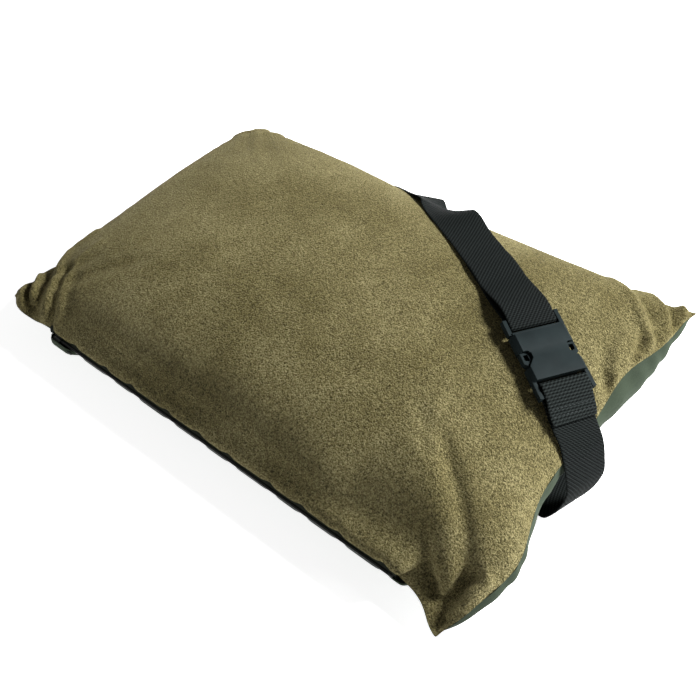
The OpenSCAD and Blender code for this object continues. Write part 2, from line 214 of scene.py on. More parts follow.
def fleece_material():
    n = Nodes("fleece", Roughness=0.95, Sheen_Weight=0.35, Sheen_Roughness=0.45,
              Sheen_Tint=(*srgb(190, 178, 130), 1), Specular_IOR_Level=0.15)
    place = n.place("Object")
    curls = n.noise(place, 690, detail=1.5, roughness=0.55, distortion=0.7)
    tufts = n.noise(place, 300, detail=1, distortion=0.5)
    fibres = n.noise(place, 1700, detail=2)
    cloud = n.noise(place, 9, detail=3, roughness=0.55)
    nap = n.noise(place, 30, detail=2)
    height = n.math("ADD", n.math("MULTIPLY", curls, 0.8), n.math("MULTIPLY", tufts, 0.2))
    # The colour follows the pile's bump height: partly the fleece's own mottle, partly painted shade in the
    # hollows of the pile and painted highlight on its raised tufts.
    tone = n.ramp(height, [
        (0.36, srgb(62, 57, 33)), (0.50, srgb(109, 102, 68)), (0.64, srgb(150, 141, 102))])
    patch = n.ramp(cloud, [(0.35, srgb(206, 204, 190)), (0.65, srgb(255, 255, 255))])
    brushed = n.ramp(nap, [(0.35, srgb(232, 230, 222)), (0.65, srgb(255, 255, 255))])
    tone = n.mix(1.0, tone, patch, "MULTIPLY")
    tone = n.mix(0.7, tone, brushed, "MULTIPLY")
    relief = n.bump(height, 0.0030, 1.0)
    relief = n.bump(fibres, 0.0003, 0.5, relief)
    return n.finish(tone, None, relief)


def peach_material():
    n = Nodes("peach_fabric", Roughness=0.85, Sheen_Weight=0.06, Sheen_Roughness=0.4,
              Sheen_Tint=(*srgb(150, 165, 140), 1), Specular_IOR_Level=0.08)
    place = n.place("Object")
    weave = n.add("ShaderNodeTexWave", wave_type="BANDS", bands_direction="DIAGONAL")
    weave.inputs["Scale"].default_value = 420
    weave.inputs["Distortion"].default_value = 1.5
    n.link(place, weave.inputs["Vector"])
    fine = n.noise(place, 900, detail=2)
    cloud = n.noise(place, 14, detail=3)
    tone = n.ramp(cloud, [(0.3, srgb(36, 44, 35)), (0.7, srgb(50, 59, 47))])
    tone = n.mix(n.math("MULTIPLY", fine, 0.5), tone, srgb(66, 75, 61))
    relief = n.bump(weave.outputs["Fac"], 0.00012, 0.5)
    relief = n.bump(fine, 0.00015, 0.5, relief)
    return n.finish(tone, None, relief)


# Metres from one rib of the webbing to the next, where it is plain and where it is bold
RIB_PITCHES = (0.0020, 0.0029)


def webbing_material(name, bold_from):
    """Ribs run across the strap, bolder past bold_from; the UV map holds metres along and across it."""
    n = Nodes(name, Specular_IOR_Level=0.035)
    place = n.place("UV")
    ribs = []
    for pitch in RIB_PITCHES:
        rib = n.add("ShaderNodeTexWave", wave_type="BANDS", bands_direction="X", wave_profile="SIN")
        rib.inputs["Scale"].default_value = 2 * math.pi / 20 / pitch
        rib.inputs["Distortion"].default_value = 0.6
        rib.inputs["Detail"].default_value = 1
        n.link(place, rib.inputs["Vector"])
        ribs.append(rib.outputs["Fac"])
    along = n.add("ShaderNodeSeparateXYZ")
    n.link(place, along.inputs[0])
    bold = n.math("GREATER_THAN", along.outputs[0], bold_from)
    plain = n.math("SUBTRACT", 1.0, bold)
    rib = n.math("ADD", n.math("MULTIPLY", n.math("MULTIPLY", ribs[0], plain), 0.3),
                 n.math("MULTIPLY", n.math("MULTIPLY", ribs[1], bold), 0.7))
    twill = n.add("ShaderNodeTexWave", wave_type="BANDS", bands_direction="DIAGONAL")
    twill.inputs["Scale"].default_value = 150
    twill.inputs["Distortion"].default_value = 0.4
    n.link(place, twill.inputs["Vector"])
    fuzz = n.noise(n.place("Object"), 1400, detail=2)
    wear = n.noise(n.place("Object"), 40, detail=3)
    height = n.math("ADD", rib, n.math("MULTIPLY", twill.outputs["Fac"], 0.35))
    # The colour follows the rib height: painted shade in the grooves between the ribs and painted highlight
    # on the rib tops, bolder on the folded end.
    tone = n.ramp(height, [(0.10, srgb(4, 5, 5)), (0.95, srgb(40, 45, 44))])
    tone = n.mix(n.math("MULTIPLY", wear, 0.2), tone, srgb(26, 30, 29))
    rough = n.math("ADD", 0.62, n.math("MULTIPLY", fuzz, 0.25))
    relief = n.bump(height, 0.0009, 1.0)
    relief = n.bump(fuzz, 0.00012, 0.5, relief)
    return n.finish(tone, rough, relief)


def plastic_material():
    n = Nodes("moulded_plastic", Specular_IOR_Level=0.02)
    place = n.place("Object")
    grain = n.noise(place, 2600, detail=2)
    flow = n.noise(place, 45, detail=3)
    tone = n.ramp(flow, [(0.3, srgb(25, 31, 32)), (0.7, srgb(31, 38, 39))])
    rough = n.math("ADD", 0.46, n.math("MULTIPLY", flow, 0.12))
    relief = n.bump(grain, 0.00006, 0.5)
    return n.finish(tone, rough, relief)


def thread_material():
    n = Nodes("thread", Roughness=0.6, Specular_IOR_Level=0.1)
    place = n.place("Object")
    ply = n.noise(place, 2200, detail=2)
    tone = n.ramp(ply, [(0.3, srgb(30, 34, 34)), (0.7, srgb(52, 57, 57))])
    return n.finish(tone, None, n.bump(ply, 0.0001, 0.6))


def zip_tape_material():
    n = Nodes("zip_tape", Roughness=0.9, Specular_IOR_Level=0.04)
    place = n.place("Object")
    weave = n.voronoi(place, 1500)
    tone = n.ramp(weave, [(0.1, srgb(17, 19, 16)), (0.7, srgb(34, 37, 31))])
    return n.finish(tone, None, n.bump(weave, 0.0002, 0.6))


def zip_teeth_material():
    n = Nodes("zip_teeth", Specular_IOR_Level=0.5)
    flow = n.noise(n.place("Object"), 300, detail=2)
    tone = n.ramp(flow, [(0.3, srgb(20, 22, 20)), (0.7, srgb(34, 37, 33))])
    rough = n.math("ADD", 0.28, n.math("MULTIPLY", flow, 0.2))
    return n.finish(tone, rough, n.bump(flow, 0.00005, 0.4))


def zip_metal_material():
    n = Nodes("zip_metal", Metallic=0.85)
    place = n.place("Object")
    wear = n.noise(place, 260, detail=4, roughness=0.65)
    tone = n.ramp(wear, [(0.42, srgb(62, 64, 62)), (0.60, srgb(88, 90, 87)), (0.72, srgb(140, 140, 134))])
    rough = n.math("ADD", 0.3, n.math("MULTIPLY", wear, 0.3))
    return n.finish(tone, rough, n.bump(wear, 0.00008, 0.5))


def lining_material(name, low, high):
    n = Nodes(name, Roughness=0.9, Sheen_Weight=0.2)
    place = n.place("Object")
    weave = n.voronoi(place, 900)
    tone = n.ramp(weave, [(0.1, low), (0.8, high)])
    return n.finish(tone, None, n.bump(weave, 0.0002, 0.5))


def floor_material():
    n = Nodes("studio_floor", Roughness=0.9, Specular_IOR_Level=0.1, Emission_Strength=0.78,
              Emission_Color=(1, 1, 1, 1))
    tone = n.ramp(n.noise(n.place("Object"), 3), [(0.3, srgb(248, 248, 248)), (0.7, srgb(252, 252, 252))])
    return n.finish(tone)


# ---------------------------------------------------------------- camera, floor and light

CAMERA_TARGET = Vector((0.0440, -0.0300, 0.0520))
CAMERA_DISTANCE = 1.090
CAMERA_AZIMUTH = math.radians(39.5)
CAMERA_ELEVATION = math.radians(47.6)
CAMERA_LENS = 55
SENSOR_WIDTH = 36
# Name, azimuth and elevation in degrees, distance and size in metres, power in watts
LIGHTS = (
    ("key", 142, 39, 2.2, 0.55, 118),
    ("fill", -55, 12, 2.4, 1.4, 14),
    ("side", 112, 16, 2.0, 0.8, 18),
)
WORLD_STRENGTH = 0.12
FLOOR_RADIUS, FLOOR_DROP = 30, 0.0004


def direction(azimuth, elevation):
    """The unit vector from the pillow towards a place seen from the front, the right being azimuth 90."""
    return Vector((math.sin(azimuth) * math.cos(elevation),
                   -math.cos(azimuth) * math.cos(elevation), math.sin(elevation)))


def make_camera():
    data = bpy.data.cameras.new("camera")
    data.lens = CAMERA_LENS
    data.sensor_width = SENSOR_WIDTH
    data.clip_start = 0.05
    camera = bpy.data.objects.new("camera", data)
    scene.collection.objects.link(camera)
    back = direction(CAMERA_AZIMUTH, CAMERA_ELEVATION)
    camera.location = CAMERA_TARGET + back * CAMERA_DISTANCE
    camera.rotation_euler = back.to_track_quat("Z", "Y").to_euler()
    scene.camera = camera


def area_light(name, azimuth, elevation, distance, size, power):
    data = bpy.data.lights.new(name, "AREA")
    data.shape = "DISK"
    data.size = size
    data.energy = power
    light = bpy.data.objects.new(name, data)
    scene.collection.objects.link(light)
    back = direction(math.radians(azimuth), math.radians(elevation))
    light.location = CAMERA_TARGET + back * distance
    light.rotation_euler = back.to_track_quat("Z", "Y").to_euler()


def make_studio():
    bpy.ops.mesh.primitive_circle_add(vertices=96, radius=FLOOR_RADIUS, fill_type="NGON",
                                      location=(0, 0, -FLOOR_DROP))
    floor = bpy.context.object
    floor.name = "floor"
    floor.data.materials.append(floor_material())
    for light in LIGHTS:
        area_light(*light)
    world = bpy.data.worlds.new("studio")
    world.use_nodes = True
    world.node_tree.nodes["Background"].inputs["Color"].default_value = (1, 1, 1, 1)
    world.node_tree.nodes["Background"].inputs["Strength"].default_value = WORLD_STRENGTH
    scene.world = world
    scene.view_settings.view_transform = "Standard"


make_camera()
make_studio()


# ---------------------------------------------------------------- shape of the filled cover

cover_low, cover_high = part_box("fleece_top_panel")
HALF_L = (cover_high.x - cover_low.x) / 2
HALF_W = 0.200
CROWN = 0.071
BELLY = 0.054
PULL_X, PULL_Y, PULL_POWER = 0.020, 0.045, 6
EDGE_POWER = 2.7
TIP_POWER = 8
# The straps are sewn to the belly here, which draws it down
ANCHOR = Vector((0.120, 0.091, 0))
ANCHOR_REACH = 0.042
ANCHOR_CLEAR = 0.0046
# Height of the seam at each corner (left or right, front or back), and the extra lift of its tip
CORNERS = {(-1, -1): (0.035, -0.010), (1, -1): (0.035, -0.022),
           (-1, 1): (0.044, -0.003), (1, 1): (0.078, 0.014)}


def seam_height(s, t):
    z = 0 * s
    for (i, j), (base, tip) in CORNERS.items():
        share = (1 + i * s) / 2 * (1 + j * t) / 2
        z = z + base * share + tip * share ** TIP_POWER
    return z


def swell(s, t):
    g = (1 - np.abs(s) ** EDGE_POWER) * (1 - np.abs(t) ** EDGE_POWER)
    return np.sqrt(np.maximum(g, 0))


def filled_point(s, t, side):
    x = HALF_L * s * (1 - PULL_X * (1 - np.abs(t) ** PULL_POWER) * s * s)
    y = HALF_W * t * (1 - PULL_Y * (1 - np.abs(s) ** PULL_POWER) * t * t)
    z = seam_height(s, t) + (CROWN if side > 0 else -BELLY) * swell(s, t)
    if side < 0:
        share = np.exp(-((x - ANCHOR.x) ** 2 + (y - ANCHOR.y) ** 2) / ANCHOR_REACH ** 2)
        z = z + (np.minimum(z, ANCHOR_CLEAR) - z) * share
    return np.stack([x, y, np.maximum(z, 0.0004)], axis=-1)


def arc_length(line):
    return float(np.linalg.norm(np.diff(line, axis=0), axis=1).sum())


line = np.linspace(-1, 1, 400)
FLAT_L = arc_length(filled_point(line, 0 * line, 1))
FLAT_W = arc_length(filled_point(0 * line, line, 1))

CELLS_L, CELLS_W = 112, 76


def even_rows(count):
    """Rows from seam to seam, closer together where the cover curves down to the seam."""
    u = np.linspace(-1, 1, count + 1)
    return np.sin(u * math.pi / 2) * 0.35 + u * 0.65


def bell(x, middle, width):
    return np.exp(-((x - middle) / width) ** 2)


def right_seam_inset(t):
    """How far up on the crown the right-hand seam lies, where the under panel shows below the fleece."""
    return 0.011 * smoothstep((t + 1) / 0.15) * smoothstep((1 - t) / 0.1) + 0.036 * bell(t, 0.45, 0.24)


def closed_point(u, v):
    """A place on the under panel, which past u = 1 rounds the right-hand edge up to the seam."""
    past = u > 1
    s = np.where(past, 2 - u, u)
    below = filled_point(s, v, -1)
    above = filled_point(s, v, 1)
    return np.where(past[..., None], above, below)


def cover_mesh():
    """The sewn cover as one closed grid: the top's points first, then the base's inner points."""
    grid_s, grid_t = np.meshgrid(even_rows(CELLS_L), even_rows(CELLS_W), indexing="ij")
    inset = np.where(grid_s > 0, right_seam_inset(grid_t), 0)
    top_s, base_s = grid_s * (1 - inset), grid_s * (1 + inset)
    top = filled_point(top_s, grid_t, 1)
    base = closed_point(base_s, grid_t)
    flat_top = np.stack([top_s * FLAT_L / 2, grid_t * FLAT_W / 2, 0 * grid_s], axis=-1)
    flat_base = np.stack([base_s * FLAT_L / 2, grid_t * FLAT_W / 2, 0 * grid_s], axis=-1)
    number = np.arange((CELLS_L + 1) * (CELLS_W + 1)).reshape(CELLS_L + 1, CELLS_W + 1)
    under = number.copy()
    inner = (CELLS_L - 1) * (CELLS_W - 1)
    under[1:-1, 1:-1] = number.size + np.arange(inner).reshape(CELLS_L - 1, CELLS_W - 1)
    points = np.vstack([top.reshape(-1, 3), base[1:-1, 1:-1].reshape(-1, 3)])
    rest = np.vstack([flat_top.reshape(-1, 3), flat_base[1:-1, 1:-1].reshape(-1, 3)])
    top_faces, base_faces = [], []
    for i in range(CELLS_L):
        for j in range(CELLS_W):
            top_faces.append((number[i, j], number[i + 1, j], number[i + 1, j + 1], number[i, j + 1]))
            base_faces.append((under[i, j], under[i, j + 1], under[i + 1, j + 1], under[i + 1, j]))
    place = np.vstack([
        np.stack([top_s, grid_t], axis=-1).reshape(-1, 2),
        np.stack([base_s, grid_t], axis=-1)[1:-1, 1:-1].reshape(-1, 2)])
    return points, rest, top_faces, base_faces, place, number, under


SIM_FRAMES = 22
# The furthest, in metres, that the simulation may move a point
SIM_CAP = 0.024
# The least height of the cover over the ground that it rests on
LOWEST = 0.0003


def inflate(points, rest, faces, place, top_count):
    """Blows the sewn cover up from its flat cut, held at the seam by the corners and the zip."""
    obj = new_object("cover_sim", mesh_from("cover_sim", points, faces))
    obj.shape_key_add(name="Basis")
    flat = obj.shape_key_add(name="flat")
    flat.data.foreach_set("co", rest.ravel())
    flat.value = 0
    s, t = place[:, 0], place[:, 1]
    rim = np.maximum(np.abs(s), np.abs(t)) > 0.999
    corner = np.abs(s) * np.abs(t)
    hold = np.where(rim, 0.35, 0.0)
    hold = np.maximum(hold, np.where(rim, smoothstep((corner - 0.80) / 0.2), 0))
    hold = np.where((t < -0.999) & (np.abs(s + 0.04) < 0.78), 0.75, hold)
    resting = (np.arange(len(points)) >= top_count) & (points[:, 2] < 0.001)
    hold = np.where(resting, 0.9, hold)
    group = obj.vertex_groups.new(name="held")
    for i in np.nonzero(hold > 0)[0]:
        group.add([int(i)], float(hold[i]), "REPLACE")
    mod = obj.modifiers.new("cloth", "CLOTH")
    cloth = mod.settings
    cloth.quality = 6
    cloth.mass = 0.25
    cloth.tension_stiffness = 25
    cloth.compression_stiffness = 18
    cloth.shear_stiffness = 8
    cloth.bending_stiffness = 2.0
    cloth.tension_damping = 6
    cloth.compression_damping = 6
    cloth.air_damping = 2
    cloth.use_pressure = True
    cloth.uniform_pressure_force = 5
    cloth.effector_weights.gravity = 0
    cloth.vertex_group_mass = "held"
    cloth.pin_stiffness = 1.0
    cloth.rest_shape_key = flat
    mod.point_cache.frame_start = 1
    mod.point_cache.frame_end = SIM_FRAMES + 1
    for f in range(1, SIM_FRAMES + 1):
        scene.frame_set(f)
    deps = bpy.context.evaluated_depsgraph_get()
    result = coords(obj.evaluated_get(deps).data)
    scene.frame_set(1)
    bpy.data.objects.remove(obj)
    move = result - points
    length = np.linalg.norm(move, axis=1, keepdims=True)
    return points + move * np.minimum(1, SIM_CAP / np.maximum(length, 1e-9))


def keep_outline(points, start, place, number):
    """Brings each seam back to its line in plan; the puckers that the simulation made in it stay."""
    out = points.copy()
    kernel = np.ones(9) / 9
    for rim, axis, side in ((number[-1, :], 0, 1), (number[0, :], 0, -1),
                            (number[:, -1], 1, 1), (number[:, 0], 1, -1)):
        lost = start[rim] - points[rim]
        even = np.column_stack([
            np.convolve(np.pad(lost[:, k], 4, mode="edge"), kernel, mode="valid") for k in range(3)])
        along = place[rim, 1 - axis]
        share = np.clip(place[:, axis] * side, 0, 1) ** 5
        for k in range(3):
            out[:, k] += np.interp(place[:, 1 - axis], along, even[:, k]) * share
    return out


points, rest, top_faces, base_faces, place, top_number, under_number = cover_mesh()
top_count = top_number.size
start = points.copy()
points = inflate(points, rest, top_faces + base_faces, place, top_count)
points = keep_outline(points, start, place, top_number)
points[top_count:, 2] = np.maximum(points[top_count:, 2], start[top_count:, 2])


def shape_corners(points, place):
    """The puffed edge beside the near right corner, and the tips as they are bent."""
    s, t = place[:, 0], place[:, 1]
    right = smoothstep((np.abs(s) - 0.6) / 0.4) * (s > 0)
    # Each part of the cover that is shifted, and its shift in millimetres
    shifts = (
        (right * bell(t, -0.68, 0.26), (24, 0, 0)),
        (right * bell(t, 0.62, 0.38), (10, 0, 0)),
        (right * bell(t, -0.74, 0.22), (0, 0, 5)),
        # Near right corner: its tip, and its heel just beside it
        (bell(s, 1, 0.11) * bell(t, -1, 0.13), (-16, -12, -4)),
        (right * bell(t, -0.90, 0.07), (4, -5, 0)),
        # Back edge at the right
        (smoothstep((t - 0.5) / 0.5) * bell(s, 0.75, 0.22), (0, 0, 4)),
        # Left edge, then the near left corner: its tip, its blunted point and its foot
        (smoothstep((-s - 0.6) / 0.4), (-3, 0, 2)),
        (bell(s, -1, 0.13) * bell(t, -1, 0.18), (6, 4, 16)),
        (bell(s, -1, 0.05) * bell(t, -1, 0.06), (6, 6, 0)),
        (bell(s, -0.90, 0.10) * smoothstep((-t - 0.7) / 0.3), (-3, -8, 0)),
        # Back edge, drawn in at the middle, and the back left tip
        (smoothstep((t - 0.5) / 0.5) * bell(s, 0.05, 0.45), (0, -5, -4)),
        (bell(s, -1, 0.12) * bell(t, 1, 0.16), (6, -5, 0)),
    )
    return points + sum(share[:, None] * (np.array(shift) * MM) for share, shift in shifts)


points = shape_corners(points, place)
points[:, 2] = np.maximum(points[:, 2], LOWEST)


def panel_object(name, keep_faces):
    used = np.unique(np.array(keep_faces))
    renumber = {int(v): k for k, v in enumerate(used)}
    mesh = mesh_from(name, points[used], [[renumber[int(v)] for v in f] for f in keep_faces])
    for axis, label in enumerate(("s", "t")):
        mesh.attributes.new(label, "FLOAT", "POINT").data.foreach_set("value", place[used, axis])
    return new_object(name, mesh)


def panel_place(mesh):
    out = []
    for label in ("s", "t"):
        values = np.empty(len(mesh.vertices))
        mesh.attributes[label].data.foreach_get("value", values)
        out.append(values)
    return out


# Half the cover's length and width, in millimetres, which creases and puckers are placed by
PANEL_X, PANEL_Y = 300, 200
# The deepest crease, as a share of the cover's thickness there
DEEPEST = 0.62

# Creases of the fleece: the places that each runs through, as shares of the half panel, then its half
# width and its height at both ends in millimetres
CREASES = [
    # Right back corner: ridges that fan out from the right-hand seam to the back seam
    (((0.80, 0.99), (0.89, 0.95), (0.95, 0.85), (0.985, 0.74)), 4.5, 3.0, 4.5),
    (((0.95, 0.99), (0.985, 0.92), (0.985, 0.84), (0.98, 0.76)), 4, 4.0, 4.5),
    (((0.72, 0.93), (0.82, 0.845), (0.895, 0.73), (0.93, 0.67)), 5, 2.0, 4.0),
    (((0.925, 0.75), (0.948, 0.64), (0.955, 0.52), (0.96, 0.46)), 4.5, 3.5, 3.5),
    (((0.895, 0.66), (0.915, 0.54), (0.945, 0.43)), 4.5, 2.5, 3.5),
    (((0.875, 0.60), (0.898, 0.47), (0.93, 0.39), (0.95, 0.36)), 5, 2.5, 4.0),
    (((0.76, 0.98), (0.84, 0.88), (0.905, 0.80), (0.94, 0.72)), 5, -2.5, -4.5),
    (((0.905, 0.68), (0.928, 0.60), (0.945, 0.50)), 3.5, -3.5, -2.5),
    (((0.86, 0.46), (0.89, 0.38), (0.94, 0.31)), 6, -2.0, -4.0),
    (((0.88, 0.98), (0.93, 0.92), (0.965, 0.85), (0.975, 0.77)), 4.5, -3.5, -4.5),
    # Near right corner: a broad dip and a puffed roll, then two deep valleys that run in from the tip
    (((0.93, -0.975), (0.80, -0.95), (0.68, -0.93), (0.56, -0.90)), 27, -9.0, -5.0),
    (((0.89, -0.84), (0.83, -0.76), (0.74, -0.66), (0.64, -0.58)), 24, 5.0, 4.0),
    (((0.965, -0.98), (0.907, -0.972), (0.843, -0.943), (0.80, -0.90), (0.775, -0.845)), 5.5, -12.0, -3.0),
    (((0.965, -0.975), (0.945, -0.91), (0.925, -0.85), (0.94, -0.82)), 5, -10.0, -7.0),
    (((0.97, -0.97), (0.935, -0.945), (0.905, -0.915)), 4.0, -6.0, -2.0),
    (((0.968, -0.93), (0.966, -0.87), (0.966, -0.80)), 6, 7.0, 6.0),
    # Near left corner: ridges that run down from the left-hand seam, and the bent tip
    (((-0.95, -0.40), (-0.97, -0.56), (-0.93, -0.70), (-0.865, -0.82), (-0.825, -0.92), (-0.80, -0.985)),
     5, 3.0, 3.0),
    (((-0.85, -0.50), (-0.865, -0.65), (-0.823, -0.81), (-0.775, -0.91), (-0.73, -0.985)), 5, 1.5, 2.0),
    (((-0.985, -0.66), (-0.93, -0.79), (-0.875, -0.90), (-0.84, -0.98)), 6, -4.5, -4.5),
    (((-0.87, -0.72), (-0.84, -0.82), (-0.80, -0.91), (-0.765, -0.985)), 4.5, -2.0, -3.0),
    (((-0.81, -0.74), (-0.765, -0.86), (-0.71, -0.95)), 6, -1.5, -2.0),
    (((-0.985, -0.83), (-0.955, -0.90), (-0.912, -0.945), (-0.865, -0.985)), 4.5, -8.0, -6.0),
    (((-0.97, -0.80), (-0.93, -0.87), (-0.87, -0.95)), 3.5, 2.5, 2.5),
    # Back left corner
    (((-0.90, 0.97), (-0.93, 0.86), (-0.98, 0.78)), 5, 2.0, 2.0),
    (((-0.82, 0.98), (-0.85, 0.86), (-0.90, 0.74)), 7, 1.4, 0.8),
    # Shallow dents on the crown
    (((-0.10, 0.30), (0.00, 0.26), (0.08, 0.18)), 13, -1.4, -0.8),
    (((0.02, 0.42), (0.10, 0.36), (0.16, 0.25)), 12, -1.0, -0.8),
    (((-0.30, -0.20), (-0.20, -0.26), (-0.08, -0.30)), 15, -1.0, -0.7),
    (((0.30, -0.45), (0.42, -0.40), (0.52, -0.30)), 14, -1.0, -0.8),
]


def crease_heights(x, y):
    """The height, in metres, that the creases add at places on the flat panel given in millimetres."""
    total = np.zeros_like(x)
    for path, width, first, last in CREASES:
        knots = np.array(path) * (PANEL_X, PANEL_Y)
        lengths = np.linalg.norm(np.diff(knots, axis=0), axis=1)
        start = np.concatenate([[0], np.cumsum(lengths)])
        nearest = np.full_like(x, 1e9)
        along = np.zeros_like(x)
        for k in range(len(knots) - 1):
            step = (knots[k + 1] - knots[k]) / lengths[k]
            run = (x - knots[k][0]) * step[0] + (y - knots[k][1]) * step[1]
            run_in = np.clip(run, 0, lengths[k])
            gap = np.hypot(x - knots[k][0] - run_in * step[0], y - knots[k][1] - run_in * step[1])
            closer = gap < nearest
            nearest = np.where(closer, gap, nearest)
            along = np.where(closer, (start[k] + run_in) / start[-1], along)
        total += (first + (last - first) * along) * np.exp(-(nearest / width) ** 2)
    room = DEEPEST * (CROWN + BELLY) * swell(x / PANEL_X, y / PANEL_Y)
    return np.maximum(total * MM, -room)


def field(points, scale, offset=0.0):
    """Smooth noise from -1 to 1 at each point."""
    return np.array([noise.noise(Vector(p) * scale + Vector((offset, offset, offset))) for p in points])


def finish_fleece(obj):
    """Adds the creases, the soft unevenness and the puckers along the seams."""
    mesh = obj.data
    co, out = coords(mesh), normals(mesh)
    s, t = panel_place(mesh)
    x, y = s * PANEL_X, t * PANEL_Y
    rim = np.minimum(PANEL_X * (1 - right_seam_inset(t) * (s > 0)) - np.abs(x), PANEL_Y - np.abs(y))
    height = crease_heights(x, y)
    soft = field(co, 9.0) * 1.6 + field(co, 24.0, 5.0) * 0.6
    long_side = PANEL_Y - np.abs(y) < PANEL_X - np.abs(x)
    zip_side = (y < -150) & long_side
    around = np.where(long_side, x, y)
    puckers = np.sin(around / 3.4 + 2.0 * np.sin(around / 17.0)) * np.exp(-(rim / 9.0) ** 2)
    height += MM * soft * smoothstep(rim / 25.0)
    height += MM * 0.9 * puckers * np.where(zip_side, 0.3, 1.0) * smoothstep(rim / 3.0)
    keep = smoothstep(rim / 4.0)[:, None]
    set_coords(mesh, co + out * height[:, None] * keep)


def finish_under(obj):
    """Adds unevenness and puckers, but none where the panel rests."""
    mesh = obj.data
    co, out = coords(mesh), normals(mesh)
    s, t = panel_place(mesh)
    x, y = s * PANEL_X, t * PANEL_Y
    rim = np.minimum(PANEL_X * (1 + right_seam_inset(t) * (s > 0)) - np.abs(x), PANEL_Y - np.abs(y))
    around = np.where(PANEL_Y - np.abs(y) < PANEL_X - np.abs(x), x, y)
    puckers = np.sin(around / 4.6 + 1.7 * np.sin(around / 21.0)) * np.exp(-(rim / 16.0) ** 2)
    height = MM * (field(co, 14.0, 9.0) * 1.2 + 0.9 * puckers) * smoothstep(rim / 6.0)
    height = np.where(co[:, 2] < 0.004, 0, height)
    co = co + out * height[:, None]
    co[:, 2] = np.maximum(co[:, 2], LOWEST)
    set_coords(mesh, co)


fleece = panel_object("fleece_top", top_faces)
under = panel_object("under_side", base_faces)
subdivided(fleece)
subdivided(under)
finish_fleece(fleece)
finish_under(under)
fleece.data.materials.append(fleece_material())
under.data.materials.append(peach_material())


# How much deeper than the fleece the pads inside it are dented, so that none shows through a crease
PAD_DENT = 1.15


def inner_pad(name, depth, edge):
    """A closed pad inside the cover, each place of it lying a depth in from either panel."""
    top = points[top_number]
    base = points[under_number]
    rows, columns = top.shape[0], top.shape[1]
    first, last_i, last_j = edge, rows - 1 - edge, columns - 1 - edge
    dent = np.minimum(crease_heights(place[top_number, 0] * PANEL_X, place[top_number, 1] * PANEL_Y), 0)
    outward = np.cross(np.gradient(top, axis=0), np.gradient(top, axis=1))
    outward /= np.maximum(np.linalg.norm(outward, axis=-1, keepdims=True), 1e-12)
    top = top + outward * dent[..., None] * PAD_DENT
    middle = (top + base) / 2
    share = np.clip(depth / np.maximum(np.linalg.norm(top - base, axis=-1), 1e-6), 0.1, 0.5)[..., None]
    upper = top + (base - top) * share
    lower = base + (top - base) * share
    pad_points, index = [], {}
    for which, layer in ((0, upper), (1, lower)):
        for i in range(first, last_i + 1):
            for j in range(first, last_j + 1):
                on_rim = i in (first, last_i) or j in (first, last_j)
                if on_rim and which:
                    index[which, i, j] = index[0, i, j]
                    continue
                index[which, i, j] = len(pad_points)
                pad_points.append(middle[i, j] if on_rim else layer[i, j])
    pad_faces = []
    for i in range(first, last_i):
        for j in range(first, last_j):
            quad = [(i, j), (i + 1, j), (i + 1, j + 1), (i, j + 1)]
            pad_faces.append([index[(0, *q)] for q in quad])
            pad_faces.append([index[(1, *q)] for q in reversed(quad)])
    return new_object(name, mesh_from(name, pad_points, pad_faces))


casing = inner_pad("inner_casing", 0.014, 8)
filling = inner_pad("filling", 0.020, 10)
casing.data.materials.append(lining_material("lining", srgb(205, 203, 192), srgb(228, 226, 216)))
filling.data.materials.append(lining_material("fibre", srgb(228, 227, 220), srgb(244, 243, 238)))

for obj, slot, replaced in (
        (fleece, "fleece", ["fleece_top_panel"]), (under, "peach_fabric", ["under_panel"]),
        (casing, "lining", ["inner_casing_top", "inner_casing_base"]), (filling, "fibre", ["fibre_filling"])):
    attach(obj, "pillow")
    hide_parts(*replaced)


# ---------------------------------------------------------------- places on the finished cover

def tree_of(*objs):
    points_in, faces_in = [], []
    for obj in objs:
        first = len(points_in)
        points_in += [v.co.copy() for v in obj.data.vertices]
        faces_in += [[first + i for i in f.vertices] for f in obj.data.polygons]
    return BVHTree.FromPolygons(points_in, faces_in)


fleece_tree = tree_of(fleece)
cover_tree = tree_of(fleece, under)


def top_at(x, y):
    hit = fleece_tree.ray_cast(Vector((x, y, 0.3)), Vector((0, 0, -1)))[0]
    return hit.z if hit else 0.0


def near_side_at(x, z, fallback):
    hit = cover_tree.ray_cast(Vector((x, -0.4, z)), Vector((0, 1, 0)))[0]
    return hit.y if hit and hit.y < -0.12 else fallback


# ---------------------------------------------------------------- folded edge over the zip

PINCH_EVERY = 0.045
PINCH_AT = [-0.190 + PINCH_EVERY * k + 0.004 * math.sin(2.3 * k) for k in range(10)]
ZIP_FROM, ZIP_TO = -0.238, 0.252
GARAGE_TO = -0.192


def pinch(x):
    return max(math.exp(-((x - place_x) / 0.0055) ** 2) for place_x in PINCH_AT)


def end_fade(x, length):
    return float(smoothstep((x - ZIP_FROM) / length) * smoothstep((ZIP_TO - x) / length))


def strip_mesh(name, sections):
    """A sheet through equal sections, each a list of points."""
    count = len(sections[0])
    pts = [p for section in sections for p in section]
    quads = [(i * count + j, (i + 1) * count + j, (i + 1) * count + j + 1, i * count + j + 1)
             for i in range(len(sections) - 1) for j in range(count - 1)]
    return new_object(name, mesh_from(name, pts, quads))


def flap_section(x):
    fade, tuck = end_fade(x, 0.018), pinch(x)
    wave = 0.5 + 0.5 * math.sin(x * 61) * math.sin(x * 23 + 1)
    body = {z: near_side_at(x, z * MM, -0.188) / MM for z in (64, 57, 50)}
    out = [(body[64] + 1.6, 64), (body[57] - 0.2, 57), (body[50] - 1.6 * fade, 50)]
    rim_y = body[50] - 1.5
    for y, z in ((-194.6, 44.5), (-196.8, 41), (-198.0, 38), (-197.8, 36.2), (-196.9, 35.4),
                 (-196.4, 36.2), (-195.8, 38.5), (-195.0, 42)):
        y = y + 1.6 * tuck - 0.7 * wave
        z = z + 1.8 * tuck - 0.5 * wave
        out.append((rim_y + (y - rim_y) * fade, z))
    return [Vector((x, y * MM, z * MM)) for y, z in out]


